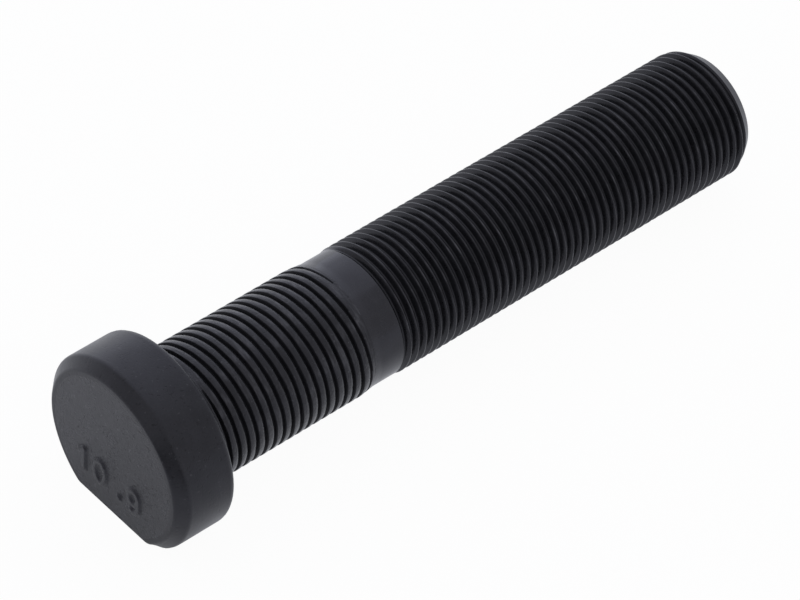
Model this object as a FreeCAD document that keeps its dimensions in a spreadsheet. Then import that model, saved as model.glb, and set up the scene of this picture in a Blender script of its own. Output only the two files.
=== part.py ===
import FreeCAD, Part
import os
import Sketcher

# Wheel bolt of a commercial vehicle hub, forged from one steel bar and then rolled.
# The bolt's axis is X. The bearing face under the head is the plane X = 0, the head
# stands at negative X and the free end of the shank at positive X. The flat that
# keeps the head from turning in the hub faces down, towards negative Z.
# All lengths are millimetres.

NODE = "wheel_bolt"

SIZES = {
    "head_diameter": 32.0,
    "head_height": 10.7,
    "face_chamfer": 2.0,
    "head_edge_break": 0.3,
    "seat_edge_round": 1.0,
    "seat_corner_fill": 0.5,
    "flat_offset": 12.0,
    "cut_margin": 2.0,
    "fit_diameter": 22.0,
    "fit_end": 29.8,
    "groove_starts": 3,
    "groove_lead": 5.1,
    "groove_begin": 2.0,
    "groove_turns": 17 / 3,
    "groove_depth": 0.7,
    "groove_width": 0.64,
    "collar_diameter": 21.3,
    "collar_begin": 32.5,
    "collar_end": 36.4,
    "thread_diameter": 21.8,
    "thread_begin": 37.6,
    "thread_end": 107.6,
    "point_diameter": 18.5,
    "point_edge_break": 0.2,
    "shank_length": 110.0,
}

doc = FreeCAD.newDocument(NODE)

# The driving dimensions
sheet = doc.addObject("Spreadsheet::Sheet", "sizes")
for row, (name, value) in enumerate(SIZES.items(), start=1):
    sheet.set(f"A{row}", name)
    sheet.set(f"B{row}", str(value))
    sheet.setAlias(f"B{row}", name)
doc.recompute()

body = doc.addObject("PartDesign::Body", "bolt")
body.Label = NODE
body.Placement = FreeCAD.Placement(FreeCAD.Vector(0, 0, 0), FreeCAD.Rotation(0, 0, 0))


def origin_item(role):
    """The plane or axis of the body's own origin that has this role."""
    return next(item for item in body.Origin.OriginFeatures if item.Role == role)


def lengthwise_outline(name, corners):
    """A closed outline of straight lines on the XZ plane, along the axis and across it.

    Each corner has a name and two expressions of the sheet, and a corner whose
    second expression is None lies on the axis.
    """
    sketch = body.newObject("Sketcher::SketchObject", name)
    sketch.AttachmentSupport = [(origin_item("XZ_Plane"), "")]
    sketch.MapMode = "FlatFace"
    points = []
    for _, along, across in corners:
        height = sketch.evalExpression(across) if across else 0.0
        points.append(FreeCAD.Vector(sketch.evalExpression(along), height, 0))
    lines = [Part.LineSegment(a, b) for a, b in zip(points, points[1:] + points[:1])]
    sketch.addGeometry(lines)
    start, end, origin, axis = 1, 2, -1, -1
    for index, (corner, along, across) in enumerate(corners):
        previous = (index - 1) % len(corners)
        sketch.addConstraint(Sketcher.Constraint("Coincident", previous, end, index, start))
        bound = [("DistanceX", "along", along, points[index].x)]
        if across:
            bound.append(("DistanceY", "across", across, points[index].y))
        else:
            sketch.addConstraint(Sketcher.Constraint("PointOnObject", index, start, axis))
        for kind, side, expression, value in bound:
            number = sketch.addConstraint(Sketcher.Constraint(kind, origin, start, index, start, value))
            sketch.renameConstraint(number, f"{corner}_{side}")
            sketch.setExpression(f"Constraints.{corner}_{side}", expression)
    doc.recompute()
    return sketch


def dressed_edges(kind, name, base, size, chosen):
    """A fillet or chamfer on the edges of the last feature for which the test says yes."""
    names = [f"Edge{i}" for i, edge in enumerate(base.Shape.Edges, start=1) if chosen(edge)]
    dressing = body.newObject(f"PartDesign::{kind}", name)
    dressing.Base = (base, names)
    dressing.setExpression("Radius" if kind == "Fillet" else "Size", f"sizes.{size}")
    doc.recompute()
    return dressing


def is_ring(edge, along, radius):
    """True for a round edge about the axis, at this place along it and of this radius."""
    if not isinstance(edge.Curve, Part.Circle):
        return False
    return abs(edge.Curve.Center.x - along) < 0.01 and abs(edge.Curve.Radius - radius) < 0.01


# Forged blank: head, bearing face, press-fit length, collar, thread length and point
blank_outline = lengthwise_outline("blank_outline", [
    ("face_centre", "-sizes.head_height", None),
    ("face_edge", "-sizes.head_height", "sizes.head_diameter / 2 - sizes.face_chamfer"),
    ("head_front", "-sizes.head_height + sizes.face_chamfer", "sizes.head_diameter / 2"),
    ("head_back", "0", "sizes.head_diameter / 2"),
    ("fit_begin", "0", "sizes.fit_diameter / 2"),
    ("fit_end", "sizes.fit_end", "sizes.fit_diameter / 2"),
    ("collar_begin", "sizes.collar_begin", "sizes.collar_diameter / 2"),
    ("collar_end", "sizes.collar_end", "sizes.collar_diameter / 2"),
    ("thread_begin", "sizes.thread_begin", "sizes.thread_diameter / 2"),
    ("thread_end", "sizes.thread_end", "sizes.thread_diameter / 2"),
    ("point_edge", "sizes.shank_length", "sizes.point_diameter / 2"),
    ("point_centre", "sizes.shank_length", None),
])
blank = body.newObject("PartDesign::Revolution", "blank")
blank.Profile = blank_outline
blank.ReferenceAxis = (blank_outline, ["H_Axis"])
blank.Angle = 360
doc.recompute()

# Flat on the head, cut right across it
flat_outline = lengthwise_outline("flat_outline", [
    ("flat_front", "-sizes.head_height - sizes.cut_margin", "-sizes.flat_offset"),
    ("flat_back", "sizes.cut_margin", "-sizes.flat_offset"),
    ("below_back", "sizes.cut_margin", "-sizes.head_diameter / 2 - sizes.cut_margin"),
    ("below_front", "-sizes.head_height - sizes.cut_margin", "-sizes.head_diameter / 2 - sizes.cut_margin"),
])
flat = body.newObject("PartDesign::Pocket", "head_flat")
flat.Profile = flat_outline
flat.Midplane = True
flat.setExpression("Length", "sizes.head_diameter + sizes.cut_margin")
doc.recompute()

# Edges: the back of the head is rounded, the others are only broken, and the corner
# under the head is filled
seat_edge = dressed_edges("Fillet", "seat_edge", flat, "seat_edge_round",
                          lambda edge: is_ring(edge, 0, sheet.head_diameter / 2))
seat_corner = dressed_edges("Chamfer", "seat_corner", seat_edge, "seat_corner_fill",
                            lambda edge: is_ring(edge, 0, sheet.fit_diameter / 2))
point_edge = dressed_edges("Chamfer", "point_edge", seat_corner, "point_edge_break",
                           lambda edge: is_ring(edge, sheet.shank_length, sheet.point_diameter / 2))
head_edge = dressed_edges("Chamfer", "head_edge", point_edge, "head_edge_break",
                          lambda edge: edge.BoundBox.XMax < sheet.face_chamfer - sheet.head_height + 0.01)

# Press-fit length: narrow grooves rolled as a right-hand helix of several starts
groove_outline = lengthwise_outline("groove_outline", [
    ("root", "sizes.groove_begin", "sizes.fit_diameter / 2 - sizes.groove_depth"),
    ("mouth_front", "sizes.groove_begin + sizes.groove_width", "sizes.fit_diameter / 2 + sizes.groove_depth"),
    ("mouth_back", "sizes.groove_begin - sizes.groove_width", "sizes.fit_diameter / 2 + sizes.groove_depth"),
])
groove = body.newObject("PartDesign::SubtractiveHelix", "fit_groove")
groove.Profile = groove_outline
groove.ReferenceAxis = (groove_outline, ["H_Axis"])
groove.Mode = "pitch-turns-angle"
groove.setExpression("Pitch", "sizes.groove_lead")
groove.setExpression("Turns", "sizes.groove_turns")
doc.recompute()

grooves = body.newObject("PartDesign::PolarPattern", "fit_grooves")
grooves.Originals = [groove]
grooves.Axis = (groove_outline, ["H_Axis"])
grooves.Angle = 360
grooves.setExpression("Occurrences", "sizes.groove_starts")
body.Tip = grooves
doc.recompute()

# Nothing is written unless every feature came out and every cut took material away
for item in doc.Objects:
    if "Invalid" in item.State or "Error" in item.State:
        raise RuntimeError(f"{item.Name} failed: {item.State}")
for before, after in ((blank, flat), (head_edge, groove), (groove, grooves)):
    if not after.Shape.Volume < before.Shape.Volume:
        raise RuntimeError(f"{after.Name} took nothing away")
shape = body.Shape
if shape.isNull() or not shape.isValid() or len(shape.Solids) != 1:
    raise RuntimeError("the bolt is not one valid solid")

os.makedirs("parts", exist_ok=True)
shape.exportStep(f"parts/{NODE}.step")
print(f"{NODE}: volume {shape.Volume:.0f} mm3, box {shape.BoundBox}")
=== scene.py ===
import math

import bpy
import numpy as np
from mathutils import Matrix, Vector


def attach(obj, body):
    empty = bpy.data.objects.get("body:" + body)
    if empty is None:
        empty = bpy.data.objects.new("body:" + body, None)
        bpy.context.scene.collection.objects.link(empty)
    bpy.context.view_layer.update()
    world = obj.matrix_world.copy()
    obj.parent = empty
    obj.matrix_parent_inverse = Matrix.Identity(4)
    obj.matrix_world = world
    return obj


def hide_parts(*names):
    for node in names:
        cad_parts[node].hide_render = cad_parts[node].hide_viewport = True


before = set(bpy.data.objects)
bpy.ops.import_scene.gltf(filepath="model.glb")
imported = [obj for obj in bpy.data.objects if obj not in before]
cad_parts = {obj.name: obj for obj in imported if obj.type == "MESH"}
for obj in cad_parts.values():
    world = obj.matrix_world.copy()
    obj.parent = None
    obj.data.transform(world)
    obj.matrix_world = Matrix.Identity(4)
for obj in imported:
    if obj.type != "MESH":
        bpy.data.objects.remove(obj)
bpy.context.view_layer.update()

# Head
# Upset in a die from the end of a steel bar, turned to a chamfer round its face and milled to one
# flat, which keeps the bolt from turning in its hub. The bar's axis is X and lengths are millimetres.
columns = 96
head_radius = 16.0
head_height = 10.7
face_chamfer = 1.7
face_edge_round = 0.7
side_edge_round = 0.9
seat_edge_round = 1.0
seat_corner_round = 0.5
flat_offset = 12.0
flat_edge_round = 0.3
flat_corner_blend = 0.3
fit_radius = 11.0
fit_begin = 1.0
face_disc_radius = 11.2
face_ring_radius = 11.5
face_rings = 4
face_rim_radius = 13.4
face_setback = 0.32
arc_points = 5
beyond_arc = 1.2
flat_corner_angle = math.radians(37)
flat_corner_spread = math.radians(6)
flat_corner_crowding = 3.0
fine_angles = 7201
level_with_face = 1e-6
least_facing = 1e-3


def smooth_step(share):
    """Rises from 0 to 1 with no slope at either end: 3 s squared less 2 s cubed."""
    share = np.clip(share, 0, 1)
    return share * share * (3 - 2 * share)


def rounded_smaller(first, second, blend):
    """The smaller of two lengths, rounded where they differ by less than the blend."""
    share = np.clip(0.5 + 0.5 * (second - first) / blend, 0, 1)
    return second + (first - second) * share - blend * share * (1 - share)


def about_axis(along, radius, angle):
    """Points at a place along the axis, a distance from it and an angle from +Z towards -Y."""
    along, radius, angle = np.broadcast_arrays(along, radius, angle)
    return np.stack([along, -radius * np.sin(angle), radius * np.cos(angle)], axis=-1)


def rounded_line(*corners):
    """A line through corners of (along, radius, rounding), with an arc in place of each inner corner.

    The arc touches both sides at rounding / tan(half the corner's angle) from the corner. A point
    just beyond either end of it keeps the straight stretch flat in shading. The second array is 1
    on the arcs and 0 elsewhere.
    """
    places = np.array([corner[:2] for corner in corners])
    line, on_arc = [places[:1]], [np.zeros(1)]
    for before, here, after, corner in zip(places, places[1:], places[2:], corners[1:]):
        rounding = corner[2]
        back = (before - here) / np.linalg.norm(before - here)
        ahead = (after - here) / np.linalg.norm(after - here)
        half_angle = np.arccos(back @ ahead) / 2
        centre = here + (back + ahead) / np.linalg.norm(back + ahead) * rounding / np.sin(half_angle)
        setback = rounding / np.tan(half_angle)
        ends = here + setback * np.stack([back, ahead]) - centre
        start, end = np.arctan2(ends[:, 1], ends[:, 0])
        sweep = (end - start + np.pi) % (2 * np.pi) - np.pi
        turn = start + sweep * np.linspace(0, 1, arc_points)
        arc = centre + rounding * np.stack([np.cos(turn), np.sin(turn)], axis=1)
        beyond = here + beyond_arc * setback * np.stack([back, ahead])
        line += [beyond[:1], arc, beyond[1:]]
        on_arc += [np.zeros(1), np.ones(arc_points), np.zeros(1)]
    return np.concatenate(line + [places[-1:]]), np.concatenate(on_arc + [np.zeros(1)])


def column_angles():
    """Angles of the columns round the bolt, closer together where the flat's corners run.

    The share of columns at an angle is 1 plus a bell curve about either corner, and a column stands
    wherever the running sum of that share has grown by one equal step.
    """
    angle = np.linspace(0, 2 * np.pi, fine_angles)
    from_corner = (np.abs(angle - np.pi) - flat_corner_angle) / flat_corner_spread
    share = 1 + flat_corner_crowding * np.exp(-from_corner ** 2)
    running = np.concatenate([[0], np.cumsum((share[1:] + share[:-1]) / 2)])
    return np.interp(np.arange(columns) / columns, running / running[-1], angle)


def wrapped_quads(rows, shift=0):
    """Quads of a sheet that closes round the bolt, its last column meeting the first one shift rows on."""
    here = np.arange(rows * columns).reshape(rows, columns)
    beside = np.full((rows, columns), -1)
    beside[:, :-1] = here[:, 1:]
    beside[:rows - shift, -1] = here[shift:, 0]
    quads = np.stack([here[:-1], beside[:-1], beside[1:], here[1:]], axis=-1).reshape(-1, 4)
    return quads[(quads >= 0).all(axis=1)]


def halved(quads):
    """Two triangles for each quad, cut from its first corner to its third."""
    return np.concatenate([quads[:, [0, 1, 2]], quads[:, [0, 2, 3]]])


angles = column_angles()
turns = angles / (2 * np.pi)
skin = []

face_at = face_setback - head_height
face_edge_radius = head_radius - face_chamfer
ring_radii = np.linspace(face_ring_radius, face_rim_radius, face_rings)
inner_rings = [(face_at, radius, 0) for radius in ring_radii]
side_line, side_edge = rounded_line(
    inner_rings[-1],
    (face_at, face_edge_radius, face_edge_round),
    (face_at + face_chamfer, head_radius, side_edge_round),
    (0, head_radius, seat_edge_round),
    (0, fit_radius, seat_corner_round),
    (fit_begin, fit_radius, 0),
)
head_line = np.concatenate([np.array(inner_rings)[:-1, :2], side_line])
head_edge = np.concatenate([np.zeros(face_rings - 1), side_edge])
head_along, head_ring = head_line[:, :1], head_line[:, 1:]

# The columns slide from even spacing round the face's disc to their own angles at its rim
even_angles = 2 * np.pi * np.arange(columns) / columns
out_to_rim = (head_ring - face_ring_radius) / (face_rim_radius - face_ring_radius)
slide = np.where(head_along < face_at + level_with_face, smooth_step(out_to_rim), 1)
head_angle = even_angles + slide * (angles - even_angles)

# The flat is a limit on the distance from the axis, a little less near the face and the seat. It leaves
# the shank alone
to_end = np.clip(np.minimum(head_along - face_at, np.maximum(-head_along, 0)), 0, flat_edge_round)
flat_here = flat_offset - flat_edge_round + np.sqrt(flat_edge_round ** 2 - (flat_edge_round - to_end) ** 2)
facing_flat = np.maximum(np.cos(head_angle - np.pi), least_facing)
flat_limit = np.where(head_ring < face_ring_radius, 2 * head_radius, flat_here / facing_flat)
head_distance = rounded_smaller(head_ring, flat_limit, flat_corner_blend)
at_flat_corner = 1 - np.clip(np.abs(flat_limit - head_ring) / flat_corner_blend, 0, 1)

head_points = about_axis(head_along, head_distance, head_angle)
head_rub = np.maximum(head_edge[:, None], at_flat_corner)
head_quads = wrapped_quads(len(head_line))
on_face = (head_quads < face_rings * columns).all(axis=1)
skin.append(("forged_face", head_points, halved(head_quads[on_face]), head_rub))
skin.append(("turned_head", head_points, halved(head_quads[~on_face]), head_rub))

# Strength class, raised on the face by the die
# Two plain numbers and a point, as standards ask of every bolt of this strength. They were filled from
# cuts in the die, so they stand up from the face and are soft at their edges.
mark_relief = 0.31
mark_half_width = 0.32
mark_flank = 0.38
disc_cells = 120
oval_points = 60
line_points = 40


def oval(across, up, half_width, half_height, start, end):
    """Points along an oval from one angle to another, in degrees from the right, anticlockwise."""
    angle = np.radians(np.linspace(start, end, oval_points))
    return np.stack([across + half_width * np.cos(angle), up + half_height * np.sin(angle)], axis=1)


def straight(start, end):
    """Points along a straight line."""
    share = np.linspace(0, 1, line_points)[:, None]
    return np.array(start) * (1 - share) + np.array(end) * share


# Strokes as seen from before the face, across and up from its middle
one = [straight((-7.3, -4.4), (-6.45, -3.5)), straight((-6.45, -3.5), (-6.45, -7.3))]
nought = [oval(-2.72, -5.4, 1.2, 2.12, 0, 360)]
point = [straight((1.68, -7.15), (1.72, -7.3))]
nine = [
    oval(5.1, -4.45, 1.1, 1.38, 0, 360),
    straight((6.2, -4.45), (6.2, -5.9)),
    oval(5.1, -5.9, 1.1, 1.5, 0, -115),
]
strokes = np.concatenate(one + nought + point + nine)

# The disc is a square grid drawn onto a circle: each side of the square becomes a quarter of it
side = math.sqrt(2) * np.sin(np.pi / 4 * np.linspace(-1, 1, disc_cells + 1))
to_left, to_top = np.meshgrid(side, side, indexing="ij")
disc_across = face_disc_radius * to_left * np.sqrt(1 - to_top ** 2 / 2)
disc_up = face_disc_radius * to_top * np.sqrt(1 - to_left ** 2 / 2)
apart = np.hypot(-disc_across[..., None] - strokes[:, 0], disc_up[..., None] - strokes[:, 1]).min(axis=-1)
mark = smooth_step((mark_half_width + mark_flank - apart) / mark_flank)
disc_along = face_at - mark_relief * mark
disc_points = np.stack([disc_along, disc_across, disc_up], axis=-1)
disc_number = np.arange((disc_cells + 1) ** 2).reshape(disc_cells + 1, disc_cells + 1)
disc_quads = np.stack([disc_number[:-1, :-1], disc_number[:-1, 1:],
                       disc_number[1:, 1:], disc_number[1:, :-1]], axis=-1).reshape(-1, 4)
skin.append(("forged_face", disc_points, halved(disc_quads), np.zeros(disc_along.shape)))

# Triangles join the disc's rim to the innermost ring, with the same number of rim points to a column
middle = disc_cells // 2
rim = np.concatenate([
    disc_points[middle:0:-1, -1], disc_points[0, :0:-1], disc_points[:-1, 0],
    disc_points[-1, :-1], disc_points[:middle:-1, -1],
])
rim_steps = len(rim) // columns
rim_number = columns + np.arange(len(rim))
rim_of = np.stack([np.roll(rim_number, -step)[::rim_steps] for step in range(rim_steps + 1)])
ring_number = np.arange(columns)
rim_triangles = np.concatenate(
    [np.stack([ring_number, rim_of[-1], np.roll(ring_number, -1)], axis=1)]
    + [np.stack([ring_number, rim_of[step], rim_of[step + 1]], axis=1) for step in range(rim_steps)]
)
rim_points = np.concatenate([head_points[0], rim])
skin.append(("forged_face", rim_points, rim_triangles, np.zeros(len(rim_points))))

# Press-fit length
# The shank next to the head is a little thicker than the thread and is pressed into the hub. Three
# narrow grooves, rolled side by side as a right-hand helix, leave lands that bite into the bore. At
# its end it tapers towards the collar.
groove_starts = 3
groove_pitch = 1.7
groove_phase = 0.22
groove_depth = 0.70
groove_half_width = 0.31
groove_lip = 0.25
land_slope_begin = -0.84
land_slope_radius = 1.2
groove_rub_depth = 0.05
groove_shade_depth = 0.13
groove_fade_in = (2.2, 2.6)
groove_fade_out = (29.2, 31.4)
groove_wander = 0.03
groove_waves = ((5, 1.7, 1.0), (13, 2.9, 0.6))
fade_out_power = 2.5
land_fade_power = 3
fit_full_end = 29.8
fit_end = 31.4
taper_end = 32.5
taper_blend = 0.05
collar_radius = 10.65


def helical_rows(begin, end, lead, pitch, phase, offsets):
    """Rows of a sheet that follow a helix: each row's offset from its groove, and its places.

    A row's place along the axis is its place at the first column plus lead times the share of a turn,
    held between begin and end, so the rows run into the plain rings there.
    """
    first = math.floor((begin - lead) / pitch) - 2
    last = math.ceil(end / pitch) + 2
    centres = phase + pitch * np.arange(first, last)
    starts = (centres[:, None] + np.array(offsets)).ravel()
    offset = np.tile(offsets, len(centres))[:, None]
    return offset, np.clip(starts[:, None] + lead * turns, begin, end)


def plain_fit(along):
    """Distance of the land from the axis: the full radius, then a straight taper to the collar's."""
    slope = (fit_radius - collar_radius) / (taper_end - fit_full_end)
    return rounded_smaller(fit_radius, fit_radius - slope * (along - fit_full_end), taper_blend)


def wandering(waves, winding):
    """A sum of sine waves round the bolt.

    Each wave has its count in a turn, its drift from one winding to the next and its height.
    """
    return sum(height * np.sin(count * angles + drift * winding) for count, drift, height in waves)


groove_lead = groove_starts * groove_pitch
groove_offsets = [-0.85, -0.70, -0.55, -0.42, -0.32, -0.24, -0.12, 0, 0.12, 0.24, 0.33, 0.43]
groove_offset, fit_along = helical_rows(
    fit_begin, fit_end, groove_lead, groove_pitch, groove_phase, groove_offsets)

# Straight steep walls with rounded lips, on a line that wanders a little, and lands that fall away in an
# arc towards the next groove. At either end the groove rises out of the land, so it narrows as it grows
# shallow: soon at the head, slowly at the collar.
groove_shift = groove_wander * wandering(groove_waves, fit_along / groove_pitch)
faded_in = smooth_step((fit_along - groove_fade_in[0]) / (groove_fade_in[1] - groove_fade_in[0]))
fading_out = np.clip((fit_along - groove_fade_out[0]) / (groove_fade_out[1] - groove_fade_out[0]), 0, 1)
fit_fade = faded_in * (1 - fading_out ** fade_out_power)
wall = groove_depth * (1 - np.abs(groove_offset) / groove_half_width)
below = wall - (1 - fit_fade) * (groove_depth + groove_lip)
fit_places = np.clip(fit_along + fit_fade * groove_shift, fit_begin, fit_end)
fallen = np.where(groove_offset < 0, np.maximum(groove_offset - land_slope_begin, 0) ** 2, 0)
land_radius = plain_fit(fit_places) - fit_fade ** land_fade_power * fallen / (2 * land_slope_radius)
groove_radius = rounded_smaller(land_radius, fit_radius - below, groove_lip)
fit_points = about_axis(fit_places, groove_radius, angles)
# Rub on the lands, fading out into the grooves: partly wear, partly a painted highlight on the lands.
land_rub_and_highlight = 1 - smooth_step((land_radius - groove_radius) / groove_rub_depth)
fit_quads = wrapped_quads(len(fit_along), groove_starts * len(groove_offsets))
# Painted shade: quads sunk more than groove_shade_depth take the grooves' dull finish, darker than their
# depth makes them.
painted_shade_quads = (land_radius - groove_radius > groove_shade_depth).ravel()[fit_quads].any(axis=1)
skin.append(("rolled_lands", fit_points, halved(fit_quads[~painted_shade_quads]), land_rub_and_highlight))
skin.append(("grooves_painted_shade", fit_points, halved(fit_quads[painted_shade_quads]), land_rub_and_highlight))

# Collar
# A plain length of the bar, ground smooth before the thread is rolled beside it. The taper of the
# press fit runs into it without an edge.
collar_end = 36.0
taper_round = 6.0
collar_line, _ = rounded_line(
    (fit_end, plain_fit(fit_end), 0),
    (taper_end, collar_radius, taper_round),
    (collar_end, collar_radius, 0),
)
collar_points = about_axis(collar_line[:, :1], collar_line[:, 1:], angles)
collar_rub = np.zeros(collar_points.shape[:2])
skin.append(("ground_collar", collar_points, halved(wrapped_quads(len(collar_line))), collar_rub))

# Thread
# A fine right-hand thread of 22 mm by 1.5 mm, rolled into the bar between two dies. Its first groove
# starts sharply in the collar, and at its far end the cone of the point cuts it away.
thread_pitch = 1.5
thread_phase = 0.34
crest_radius = 10.9
root_radius = 10.06
crest_half_width = 0.10
crest_round = 0.08
root_round = 0.08
flank_slope = math.tan(math.radians(60))
crest_rise = (36.9, 37.9)
thread_start = (36.8, 37.15)
thread_end = 109.0
cone_begin = 107.6
cone_blend = 0.05
point_end = 110.0
point_radius = 9.25
crest_wander = 0.015
crest_waves = ((7, 2.1, 0.5), (17, 0.7, 0.5))
unrolled_depth = 0.01
crest_rub_depth = 0.12
thread_offsets = [-0.61, -0.54, -0.48, -0.18, -0.13, -0.07, 0.07, 0.13, 0.18, 0.48, 0.54, 0.61]
thread_offset, thread_along = helical_rows(
    collar_end, thread_end, thread_pitch, thread_pitch, thread_phase, thread_offsets)


def point_cone(along):
    """Distance of the cone from the axis: a straight line from the crests down to the point."""
    slope = (crest_radius - point_radius) / (point_end - cone_begin)
    return point_radius + slope * (point_end - along)


# Straight flanks of 60 degrees between a narrow flat crest and a flat root, sunk into a bar that
# rises from the collar to the crests
flank = crest_radius - flank_slope * (np.abs(thread_offset) - crest_half_width)
profile = -rounded_smaller(-rounded_smaller(flank, crest_radius, crest_round), -root_radius, root_round)
uneven = wandering(crest_waves, thread_along / thread_pitch) - 1
rise = smooth_step((thread_along - crest_rise[0]) / (crest_rise[1] - crest_rise[0]))
groove_centre = thread_along - thread_offset + np.copysign(thread_pitch / 2, thread_offset)
unsunk = 1 - smooth_step((groove_centre - thread_start[0]) / (thread_start[1] - thread_start[0]))
raised = unsunk * (crest_radius + crest_round - root_radius)
bar_radius = collar_radius + rise * (crest_radius - collar_radius)
uncut_radius = rounded_smaller(profile + raised + crest_wander * uneven, bar_radius, crest_round)
thread_radius = rounded_smaller(uncut_radius, point_cone(thread_along), cone_blend)
thread_points = about_axis(thread_along, thread_radius, angles)
# Rub on the crests, fading down the flanks: partly wear, partly a painted highlight along the crests.
crest_rub_and_highlight = smooth_step(1 - (crest_radius - profile) / crest_rub_depth) * rise
thread_triangles = halved(wrapped_quads(len(thread_along), len(thread_offsets)))
on_cone = (uncut_radius > point_cone(thread_along)).ravel()[thread_triangles].all(axis=1)
unrolled = (bar_radius - uncut_radius < unrolled_depth) & (thread_along < thread_start[1])
on_collar = unrolled.ravel()[thread_triangles].all(axis=1)
skin.append(("ground_collar", thread_points, thread_triangles[on_collar], crest_rub_and_highlight))
skin.append(("rolled_thread", thread_points, thread_triangles[~on_collar & ~on_cone], crest_rub_and_highlight))
skin.append(("turned_point", thread_points, thread_triangles[on_cone], crest_rub_and_highlight))

# Point
# The free end of the bar, turned to a chamfer so that the wheel nut starts easily. Its end is faced off
# plain and its edge only broken.
point_edge_round = 0.15
point_line, point_edge = rounded_line(
    (thread_end, point_cone(thread_end), 0),
    (point_end, point_radius, point_edge_round),
    (point_end, 0, 0),
)
end_points = about_axis(point_line[:, :1], point_line[:, 1:], angles)
end_rub = np.broadcast_to(point_edge[:, None], end_points.shape[:2])
skin.append(("turned_point", end_points, halved(wrapped_quads(len(point_line))), end_rub))

# Coat
# Black phosphate, a thin crystal layer grown on the steel in a bath and then oiled. It is matt and
# slightly blue, thinner and smoother where handling and packing have rubbed it. The lighter rubbed coat
# on the lands and the thread's crests is partly wear and partly a painted highlight.
coat_dark = (0.0085, 0.0088, 0.0105, 1)
coat_light = (0.0180, 0.0184, 0.0215, 1)
oil_black = (0.0010, 0.0010, 0.0012, 1)
rubbed_steel_and_highlight = (0.075, 0.076, 0.084, 1)
coat_tint = (0.89, 0.89, 1.0, 1)
coat_ior = 1.45
millimetre = 0.001
dust_scale = 1870.0
speck_range = (0.70, 0.76)
pit_range = (0.27, 0.34)
patch_share = 0.6
patch_height = 0.8
tone_range = (0.35, 0.65)
rough_range = (0.3, 0.7)
streak_scale = 2400.0
streak_stretch = (1.0, 0.2, 0.2)
streak_range = (0.45, 0.75)
streak_least = 0.2
rub_patch_scale = 300.0
rub_patch_range = (0.46, 0.66)
rub_patch_least = 0.1
rub_smoothing = 0.25
tool_mark_scale = 3500.0


def add_node(tree, kind, sockets, **settings):
    """A node with its settings, and each named socket set to a value or linked from another's output."""
    made = tree.nodes.new(kind)
    for name, value in settings.items():
        setattr(made, name, value)
    for name, value in sockets.items():
        if isinstance(value, bpy.types.NodeSocket):
            tree.links.new(value, made.inputs[name])
        else:
            made.inputs[name].default_value = value
    return made


def new_group(name, inputs, outputs):
    """An empty shader node group with these named sockets, and its own input and output nodes."""
    group = bpy.data.node_groups.new(name, "ShaderNodeTree")
    for socket, kind in inputs:
        group.interface.new_socket(socket, in_out="INPUT", socket_type=kind)
    for socket, kind in outputs:
        group.interface.new_socket(socket, in_out="OUTPUT", socket_type=kind)
    return group, group.nodes.new("NodeGroupInput").outputs, group.nodes.new("NodeGroupOutput").inputs


def between(tree, value, low, high, to_low, to_high):
    """The value's place between low and high, carried to the same place between two others."""
    sockets = {"Value": value, "From Min": low, "From Max": high, "To Min": to_low, "To Max": to_high}
    return add_node(tree, "ShaderNodeMapRange", sockets).outputs["Result"]


def blended(tree, share, first, second):
    """One colour at share 0, the other at share 1."""
    made = add_node(tree, "ShaderNodeMix", {}, data_type="RGBA")
    for socket, value in ((made.inputs[0], share), (made.inputs[6], first), (made.inputs[7], second)):
        if isinstance(value, bpy.types.NodeSocket):
            tree.links.new(value, socket)
        else:
            socket.default_value = value
    return made.outputs[2]


def calculated(tree, operation, first, second):
    """One sum, product or the like of two values."""
    return add_node(tree, "ShaderNodeMath", {0: first, 1: second}, operation=operation).outputs[0]


def noise(tree, place, scale, detail, roughness):
    """Cloudy noise of one size at a place, between 0 and 1 and mostly near a half."""
    sockets = {"Vector": place, "Scale": scale, "Detail": detail, "Roughness": roughness}
    return add_node(tree, "ShaderNodeTexNoise", sockets).outputs[0]


def crystal_coat():
    """Colour, roughness and height of the coat: broad cloudy patches under a fine crystal grain.

    A third noise gives light specks where it is high and small dark pits where it is low.
    """
    group, given, result = new_group(
        "crystal_coat",
        [("Vector", "NodeSocketVector"), ("Patch Scale", "NodeSocketFloat"),
         ("Grain Scale", "NodeSocketFloat"), ("Smoothest", "NodeSocketFloat"),
         ("Roughest", "NodeSocketFloat"), ("Specks", "NodeSocketFloat"),
         ("Pits", "NodeSocketFloat"), ("Oil", "NodeSocketFloat")],
        [("Colour", "NodeSocketColor"), ("Roughness", "NodeSocketFloat"), ("Height", "NodeSocketFloat")],
    )
    patch = noise(group, given["Vector"], given["Patch Scale"], detail=4.0, roughness=0.6)
    grain = noise(group, given["Vector"], given["Grain Scale"], detail=3.0, roughness=0.7)
    dust = noise(group, given["Vector"], dust_scale, detail=1.0, roughness=0.4)
    specks = calculated(group, "MULTIPLY", between(group, dust, *speck_range, 0.0, 1.0), given["Specks"])
    pits = calculated(group, "MULTIPLY", between(group, dust, *pit_range, 1.0, 0.0), given["Pits"])
    tone = calculated(group, "ADD", calculated(group, "MULTIPLY", patch, patch_share),
                      calculated(group, "MULTIPLY", grain, 1 - patch_share))
    colour = blended(group, between(group, tone, *tone_range, 0.0, 1.0), coat_dark, coat_light)
    colour = blended(group, given["Oil"], colour, oil_black)
    colour = blended(group, pits, colour, oil_black)
    group.links.new(blended(group, specks, colour, rubbed_steel_and_highlight), result["Colour"])
    rough = between(group, tone, *rough_range, 0.0, 1.0)
    spread = calculated(group, "SUBTRACT", given["Roughest"], given["Smoothest"])
    rougher = calculated(group, "MULTIPLY", rough, spread)
    group.links.new(calculated(group, "ADD", rougher, given["Smoothest"]), result["Roughness"])
    height = calculated(group, "ADD", grain, calculated(group, "MULTIPLY", patch, patch_height))
    group.links.new(calculated(group, "SUBTRACT", height, pits), result["Height"])
    return group


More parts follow.
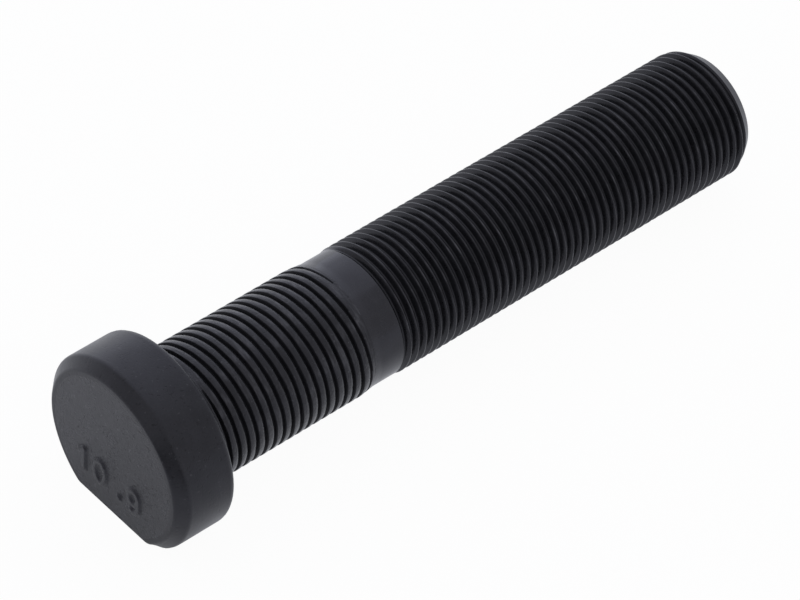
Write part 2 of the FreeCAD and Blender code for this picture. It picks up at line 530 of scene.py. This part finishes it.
def rubbed_and_highlit_coat():
    """Colour and roughness of rubbed coat: streaks in patches, on edges, lands and crests only, partly
    painted highlight on lands and crests.
    """
    group, given, result = new_group(
        "rubbed_and_highlit_coat",
        [("Vector", "NodeSocketVector"), ("Colour", "NodeSocketColor"), ("Roughness", "NodeSocketFloat"),
         ("Rub And Highlight", "NodeSocketFloat"), ("Amount", "NodeSocketFloat")],
        [("Colour", "NodeSocketColor"), ("Roughness", "NodeSocketFloat")],
    )
    drawn_out = add_node(group, "ShaderNodeMapping", {"Vector": given["Vector"], "Scale": streak_stretch})
    streak = noise(group, drawn_out.outputs[0], streak_scale, detail=3.0, roughness=0.65)
    place = noise(group, given["Vector"], rub_patch_scale, detail=2.0, roughness=0.5)
    worn = calculated(group, "MULTIPLY", between(group, streak, *streak_range, streak_least, 1.0),
                      between(group, place, *rub_patch_range, rub_patch_least, 1.0))
    worn = calculated(group, "MULTIPLY", calculated(group, "MULTIPLY", worn, given["Rub And Highlight"]), given["Amount"])
    group.links.new(blended(group, worn, given["Colour"], rubbed_steel_and_highlight), result["Colour"])
    smoother = calculated(group, "MULTIPLY", worn, rub_smoothing)
    group.links.new(calculated(group, "SUBTRACT", given["Roughness"], smoother), result["Roughness"])
    return group


crystal_group = crystal_coat()
rubbed_and_highlit_group = rubbed_and_highlit_coat()


def coated_steel(
        name, patch, grain, smoothest, roughest, shine, specks, pits, oil, rub_and_highlight, relief, tool_marks):
    """Blackened steel: the crystal coat, rubbed, and partly lit by a painted highlight, where the mesh says
    so, over the marks of the tool.

    Tool marks run round the bolt, so they change along the axis and away from it, and not with angle.
    """
    material = bpy.data.materials.new(name)
    material.use_nodes = True
    tree = material.node_tree
    shader = tree.nodes["Principled BSDF"]
    place = add_node(tree, "ShaderNodeTexCoord", {}).outputs["Object"]
    rub_here = add_node(tree, "ShaderNodeAttribute", {}, attribute_name="rub_and_highlight").outputs["Fac"]
    coat = add_node(tree, "ShaderNodeGroup", {}, node_tree=crystal_group)
    worn = add_node(tree, "ShaderNodeGroup", {}, node_tree=rubbed_and_highlit_group)
    for socket, value in (("Patch Scale", patch), ("Grain Scale", grain), ("Smoothest", smoothest),
                          ("Roughest", roughest), ("Specks", specks), ("Pits", pits), ("Oil", oil)):
        coat.inputs[socket].default_value = value
    worn.inputs["Amount"].default_value = rub_and_highlight
    tree.links.new(place, coat.inputs["Vector"])
    tree.links.new(place, worn.inputs["Vector"])
    tree.links.new(coat.outputs["Colour"], worn.inputs["Colour"])
    tree.links.new(coat.outputs["Roughness"], worn.inputs["Roughness"])
    tree.links.new(rub_here, worn.inputs["Rub And Highlight"])
    tree.links.new(worn.outputs["Colour"], shader.inputs["Base Color"])
    tree.links.new(worn.outputs["Roughness"], shader.inputs["Roughness"])
    axes = add_node(tree, "ShaderNodeSeparateXYZ", {0: place}).outputs
    from_axis = calculated(tree, "SQRT", calculated(tree, "ADD", calculated(tree, "POWER", axes["Y"], 2.0),
                                                    calculated(tree, "POWER", axes["Z"], 2.0)), 0.0)
    across_marks = calculated(tree, "ADD", axes["X"], from_axis)
    lines = add_node(
        tree, "ShaderNodeTexNoise", {"W": across_marks, "Scale": tool_mark_scale, "Detail": 2.0},
        noise_dimensions="1D").outputs[0]
    scored = calculated(tree, "MULTIPLY", lines, tool_marks)
    height = calculated(tree, "ADD", coat.outputs["Height"], scored)
    bump = add_node(
        tree, "ShaderNodeBump", {"Height": height, "Strength": 1.0, "Distance": relief * millimetre})
    tree.links.new(bump.outputs["Normal"], shader.inputs["Normal"])
    shader.inputs["Metallic"].default_value = 0.0
    shader.inputs["IOR"].default_value = coat_ior
    shader.inputs["Specular IOR Level"].default_value = shine
    shader.inputs["Specular Tint"].default_value = coat_tint
    return material


finishes = {
    "forged_face": coated_steel(
        "forged_face", patch=260.0, grain=3200.0, smoothest=0.20, roughest=0.31, shine=0.47, specks=0.7,
        pits=1.0, oil=0.0, rub_and_highlight=0.03, relief=0.055, tool_marks=0.2),
    "turned_head": coated_steel(
        "turned_head", patch=260.0, grain=3200.0, smoothest=0.26, roughest=0.37, shine=0.42, specks=0.3,
        pits=0.6, oil=0.0, rub_and_highlight=0.03, relief=0.025, tool_marks=0.3),
    # Rub on the lands is partly wear, partly a painted highlight.
    "rolled_lands": coated_steel(
        "rolled_lands", patch=420.0, grain=2800.0, smoothest=0.11, roughest=0.23, shine=0.42, specks=0.4,
        pits=0.5, oil=0.4, rub_and_highlight=0.90, relief=0.050, tool_marks=0.6),
    # Painted shade in the grooves: little shine, rougher, and no specks or rub.
    "grooves_painted_shade": coated_steel(
        "grooves_painted_shade", patch=420.0, grain=2800.0, smoothest=0.45, roughest=0.60, shine=0.10, specks=0.0,
        pits=0.3, oil=0.4, rub_and_highlight=0.0, relief=0.020, tool_marks=0.3),
    "ground_collar": coated_steel(
        "ground_collar", patch=300.0, grain=3600.0, smoothest=0.14, roughest=0.21, shine=0.54, specks=0.2,
        pits=0.3, oil=0.1, rub_and_highlight=0.0, relief=0.006, tool_marks=0.8),
    # Rub on the thread's crests is partly wear, partly a painted highlight.
    "rolled_thread": coated_steel(
        "rolled_thread", patch=420.0, grain=2800.0, smoothest=0.14, roughest=0.26, shine=0.34, specks=0.1,
        pits=0.3, oil=0.3, rub_and_highlight=1.0, relief=0.014, tool_marks=0.5),
    "turned_point": coated_steel(
        "turned_point", patch=300.0, grain=3200.0, smoothest=0.28, roughest=0.40, shine=0.5, specks=0.2,
        pits=0.3, oil=0.2, rub_and_highlight=0.5, relief=0.008, tool_marks=1.0),
}

# Bolt
# Head, press-fit length, collar, thread and point are one piece of steel, so their sheets are joined
# point to point into one closed skin.
weld_decimals = 5
all_points = np.concatenate([points.reshape(-1, 3) for _, points, _, _ in skin])
starts = np.cumsum([0] + [points.size // 3 for _, points, _, _ in skin])
triangles = np.concatenate([corners + start for (_, _, corners, _), start in zip(skin, starts)])
finish_names = list(finishes)
finish_of = np.concatenate(
    [np.full(len(corners), finish_names.index(name)) for name, _, corners, _ in skin])
# Rub at each point: wear on edges, and partly a painted highlight on lands and crests.
rub_and_highlight = np.concatenate([np.ravel(sheet_rub) for _, _, _, sheet_rub in skin])
_, kept, joined = np.unique(
    np.round(all_points, weld_decimals), axis=0, return_index=True, return_inverse=True)
triangles = joined.ravel()[triangles]
whole = ((triangles[:, 0] != triangles[:, 1]) & (triangles[:, 1] != triangles[:, 2])
         & (triangles[:, 2] != triangles[:, 0]))

bolt_mesh = bpy.data.meshes.new("forged_bolt")
bolt_mesh.from_pydata((all_points[kept] * millimetre).tolist(), [], triangles[whole].tolist())
for name in finish_names:
    bolt_mesh.materials.append(finishes[name])
bolt_mesh.polygons.foreach_set("material_index", finish_of[whole].astype(np.int32))
bolt_mesh.polygons.foreach_set("use_smooth", np.ones(int(whole.sum()), dtype=bool))
bolt_mesh.attributes.new("rub_and_highlight", "FLOAT", "POINT").data.foreach_set("value", rub_and_highlight[kept].astype(np.float32))
bolt_mesh.update()
bolt = bpy.data.objects.new("forged_bolt", bolt_mesh)
bpy.context.scene.collection.objects.link(bolt)
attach(bolt, "root")
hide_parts("wheel_bolt")

# Floor
# A plain white sheet. The bolt lies on the back edge of its flat and on the thread's far end, so the
# sheet rises a little towards that end.
floor_half_size = 6.0
floor_rise = (flat_offset - crest_radius) / cone_begin
floor_white = (0.92, 0.92, 0.92, 1)
white_to_camera = 0.96
glow_colour = (0.90, 0.93, 1.0, 1)
glow_share = 0.28
glow_near = 0.95
glow_far = 1.60
glow_rise = (0.02, 0.08)
shank_glow = 0.9
shank_glow_middle = -0.010
shank_glow_fade = (0.003, 0.014)
shank_glow_begin = (-0.012, 0.0)
unlit_share = 0.6
unlit_before = (-0.09, -0.035)
unlit_beside = (-0.01, 0.04)

floor_corner = np.array([(-1, -1), (1, -1), (1, 1), (-1, 1)]) * floor_half_size
floor_height = floor_rise * floor_corner[:, 0] - flat_offset * millimetre
floor_mesh = bpy.data.meshes.new("floor")
floor_mesh.from_pydata(np.column_stack([floor_corner, floor_height]).tolist(), [], [(0, 1, 2, 3)])
floor_material = bpy.data.materials.new("white_sheet")
floor_material.use_nodes = True
floor_tree = floor_material.node_tree
floor_tree.nodes.clear()
ray = add_node(floor_tree, "ShaderNodeLightPath", {}).outputs
reflected = calculated(floor_tree, "MAXIMUM", ray["Is Glossy Ray"], ray["Is Transmission Ray"])
floor_place = add_node(floor_tree, "ShaderNodeTexCoord", {}).outputs["Object"]
floor_axes = add_node(floor_tree, "ShaderNodeSeparateXYZ", {0: floor_place}).outputs

# In reflections the sheet glows more behind the bolt and along its shank, and is dark before the face, on
# the camera's side
before_face = between(floor_tree, floor_axes["X"], *unlit_before, 1.0, 0.0)
camera_side = between(floor_tree, floor_axes["Y"], *unlit_beside, 1.0, 0.0)
unlit = calculated(floor_tree, "MULTIPLY", before_face, camera_side)
darkened = calculated(floor_tree, "MULTIPLY", unlit, unlit_share)
glow_here = calculated(floor_tree, "ADD", darkened, glow_share)
white_share = calculated(
    floor_tree, "MAXIMUM", calculated(floor_tree, "MULTIPLY", ray["Is Camera Ray"], white_to_camera),
    calculated(floor_tree, "MULTIPLY", reflected, glow_here))
from_middle = calculated(floor_tree, "SUBTRACT", floor_axes["Y"], shank_glow_middle)
to_side = calculated(floor_tree, "ABSOLUTE", from_middle, 0.0)
beside_shank = between(floor_tree, to_side, *shank_glow_fade, shank_glow, 0.0)
behind_face = between(floor_tree, floor_axes["X"], *shank_glow_begin, 0.0, 1.0)
under_shank = calculated(floor_tree, "MULTIPLY", beside_shank, behind_face)
glow = calculated(floor_tree, "ADD", under_shank,
                  between(floor_tree, floor_axes["Y"], *glow_rise, glow_near, glow_far))
lit = calculated(floor_tree, "MULTIPLY", glow, calculated(floor_tree, "SUBTRACT", 1.0, unlit))
strength = calculated(
    floor_tree, "MAXIMUM", calculated(floor_tree, "MULTIPLY", reflected, lit), ray["Is Camera Ray"])
tint = blended(floor_tree, ray["Is Camera Ray"], glow_colour, (1, 1, 1, 1))
matt = add_node(floor_tree, "ShaderNodeBsdfDiffuse", {"Color": floor_white}).outputs[0]
white = add_node(floor_tree, "ShaderNodeEmission", {"Color": tint, "Strength": strength}).outputs[0]
floor_mix = add_node(floor_tree, "ShaderNodeMixShader", {0: white_share, 1: matt, 2: white})
add_node(floor_tree, "ShaderNodeOutputMaterial", {"Surface": floor_mix.outputs[0]})
floor_mesh.materials.append(floor_material)
floor = bpy.data.objects.new("floor", floor_mesh)
bpy.context.scene.collection.objects.link(floor)

# Light
# A bright wall behind the bolt, a dimmer room before it that is darkest behind the camera and dim beyond
# the point, and one wide soft lamp overhead whose near edge lies along the bolt.
room_colour = (0.97, 0.965, 1.0, 1)
room_dim = 0.66
wall_colour = (0.86, 0.885, 1.0, 1)
wall_bright = 1.03
wall_foot_share = 1.4
wall_foot = (0.0, 0.5)
wall_edge = (-0.1, 0.9)
camera_side_share = 0.1
camera_side_edge = (-1.0, -0.82)
far_end_share = 0.65
far_end_edge = (0.65, 0.90)
wall_direction = (0.688, 0.725, 0.0)
lamp_place = Vector((0.5, 0.333, 0.677))
lamp_tilt = -20.0
lamp_length = 1.4
lamp_width = 1.1
lamp_colour = (0.84, 0.87, 1.0)
lamp_power = 1.1

world = bpy.data.worlds.new("studio")
bpy.context.scene.world = world
world.use_nodes = True
sky = world.node_tree
background = sky.nodes["Background"]
towards = add_node(sky, "ShaderNodeTexCoord", {}).outputs["Generated"]
facing_wall = add_node(
    sky, "ShaderNodeVectorMath", {0: towards, 1: wall_direction}, operation="DOT_PRODUCT").outputs["Value"]
to_wall = between(sky, facing_wall, *wall_edge, 0.0, 1.0)
sky_axes = add_node(sky, "ShaderNodeSeparateXYZ", {0: towards}).outputs
wall_here = between(sky, sky_axes["Z"], *wall_foot, wall_bright * wall_foot_share, wall_bright)
behind_camera = between(sky, facing_wall, *camera_side_edge, camera_side_share, 1.0)
beyond_end = between(sky, sky_axes["X"], *far_end_edge, 1.0, far_end_share)
shaded = calculated(sky, "MULTIPLY", behind_camera, beyond_end)
open_sky = between(sky, to_wall, 0.0, 1.0, room_dim, wall_here)
brightness = calculated(sky, "MULTIPLY", open_sky, shaded)
seen = add_node(sky, "ShaderNodeLightPath", {}).outputs["Is Camera Ray"]
sky.links.new(calculated(sky, "MAXIMUM", brightness, seen), background.inputs["Strength"])
room_tint = blended(sky, to_wall, room_colour, wall_colour)
sky.links.new(blended(sky, seen, room_tint, (1, 1, 1, 1)), background.inputs["Color"])

lamp_data = bpy.data.lights.new("softbox", "AREA")
lamp_data.shape = "RECTANGLE"
lamp_data.size = lamp_length
lamp_data.size_y = lamp_width
lamp_data.color = lamp_colour
lamp_data.energy = lamp_power
lamp = bpy.data.objects.new("softbox", lamp_data)
lamp.location = lamp_place
lamp.rotation_euler = (math.radians(lamp_tilt), 0, 0)
bpy.context.scene.collection.objects.link(lamp)

# Camera
# A long lens from above the head's end, which shows the face, the flat's edge and the whole shank. It
# stands far off, so the head and the point are seen at nearly the same scale.
camera_azimuth = -43.505
camera_elevation = 45.260
camera_roll = 3.454
camera_distance = 0.71716
camera_aim = Vector((0.044372, -0.001268, -0.000928))
camera_lens = 212.93
sensor_width = 36.0

camera_data = bpy.data.cameras.new("camera")
camera_data.sensor_fit = "HORIZONTAL"
camera_data.sensor_width = sensor_width
camera_data.lens = camera_lens
camera = bpy.data.objects.new("camera", camera_data)
turned = (Matrix.Rotation(math.radians(camera_azimuth), 4, "Z")
          @ Matrix.Rotation(math.radians(90 - camera_elevation), 4, "X")
          @ Matrix.Rotation(math.radians(camera_roll), 4, "Z"))
camera.matrix_world = Matrix.Translation(camera_aim + turned.to_3x3().col[2] * camera_distance) @ turned
bpy.context.scene.collection.objects.link(camera)
bpy.context.scene.camera = camera
bpy.context.scene.view_settings.view_transform = "Standard"
